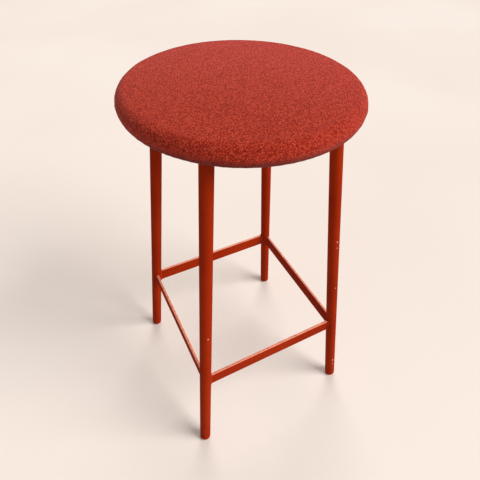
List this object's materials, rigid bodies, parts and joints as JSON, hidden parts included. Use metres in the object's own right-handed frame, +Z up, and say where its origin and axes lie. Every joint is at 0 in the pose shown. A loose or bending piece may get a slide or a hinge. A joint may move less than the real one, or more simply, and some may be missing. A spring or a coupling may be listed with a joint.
{
  "type": "bar stool",
  "caption": "Round upholstered bar stool on outward-leaning round tube legs, joined by a square ring of flat footrest bars.",
  "frame": {"origin": "on the floor under the middle of the seat", "axes": "+Z up; -Y is the front, +X is right seen from the front"},
  "size_m": [0.39, 0.3898, 0.73],
  "materials": {
    "powder_coat": "semi-gloss terracotta powder coat",
    "glide_plastic": "moulded, same colour as the frame",
    "zinc_steel": "zinc plated",
    "staple_wire": "galvanised wire",
    "plywood": "unfinished birch plywood",
    "foam": "cut polyurethane foam",
    "seat_fabric": "fine woven bouclé in red with paler threads",
    "dust_cloth": "spun non-woven cloth"
  },
  "bodies": {
    "root": {"leg_front_left": "powder_coat", "leg_front_right": "powder_coat", "leg_back_left": "powder_coat", "leg_back_right": "powder_coat", "footrest_front": "powder_coat", "footrest_right": "powder_coat", "footrest_back": "powder_coat", "footrest_left": "powder_coat", "footrest_welds": "powder_coat", "top_rail_front": "powder_coat", "top_rail_right": "powder_coat", "top_rail_back": "powder_coat", "top_rail_left": "powder_coat", "top_rail_welds": "powder_coat", "corner_plate_front_left": "powder_coat", "corner_plate_front_right": "powder_coat", "corner_plate_back_left": "powder_coat", "corner_plate_back_right": "powder_coat", "corner_plate_welds": "powder_coat", "glide_front_left": "glide_plastic", "glide_front_right": "glide_plastic", "glide_back_left": "glide_plastic", "glide_back_right": "glide_plastic", "seat_bolts": "zinc_steel", "seat_washers": "zinc_steel", "seat_t_nuts": "zinc_steel", "cover_staples": "staple_wire", "dust_cover_staples": "staple_wire", "seat_board": "plywood", "seat_foam": "foam", "seat_cover": "seat_fabric", "dust_cover": "dust_cloth"}
  },
  "joints": []
}
